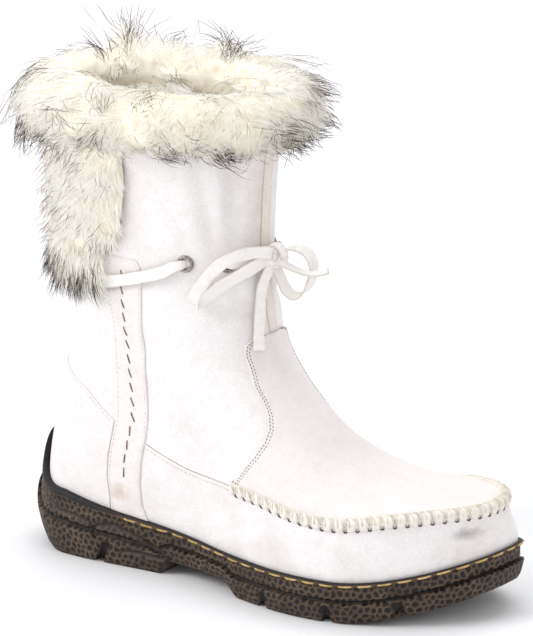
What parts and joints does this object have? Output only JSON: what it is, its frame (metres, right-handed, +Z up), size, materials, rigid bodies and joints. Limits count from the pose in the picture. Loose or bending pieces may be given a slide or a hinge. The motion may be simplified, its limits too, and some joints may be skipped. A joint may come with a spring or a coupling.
{
  "type": "winter boot",
  "caption": "Ankle-high pale suede winter boot with a fur cuff and fur strip, a moccasin-seamed toe, a flat lace tied in a bow and a dark rubber cup sole.",
  "frame": {"origin": "on the floor below the middle of the heel, at the mount heel", "axes": "+Z up, +X towards the toe, the outer side of the foot is -Y"},
  "size_m": [0.2836, 0.1281, 0.2645],
  "materials": {
    "sole_rubber": "matt moulded, cobbled side with a smooth dark rim",
    "insole_felt": "soft felt",
    "suede": "napped suede, slightly soiled",
    "seam_leather": "gathered and whip-stitched",
    "fur": "long cream fur with dark tips",
    "eyelet_metal": "dull, darkened",
    "lace_leather": "flat cut leather lace"
  },
  "bodies": {
    "root": {"outsole": "sole_rubber", "insole": "insole_felt", "upper": "suede", "vamp": "suede", "heel_counter": "suede", "side_strip": "suede", "front_seam": "suede", "moc_seam": "seam_leather", "fur_cuff": "fur", "fur_strip": "fur", "eyelet_1": "eyelet_metal", "eyelet_2": "eyelet_metal", "eyelet_3": "eyelet_metal", "eyelet_4": "eyelet_metal", "lace_rear_bar": "lace_leather", "lace_front_bar_outer": "lace_leather", "lace_front_bar_inner": "lace_leather", "lace_knot": "lace_leather", "lace_loop_left": "lace_leather", "lace_loop_right": "lace_leather", "lace_end_hanging": "lace_leather", "lace_end_side": "lace_leather"}
  },
  "joints": []
}
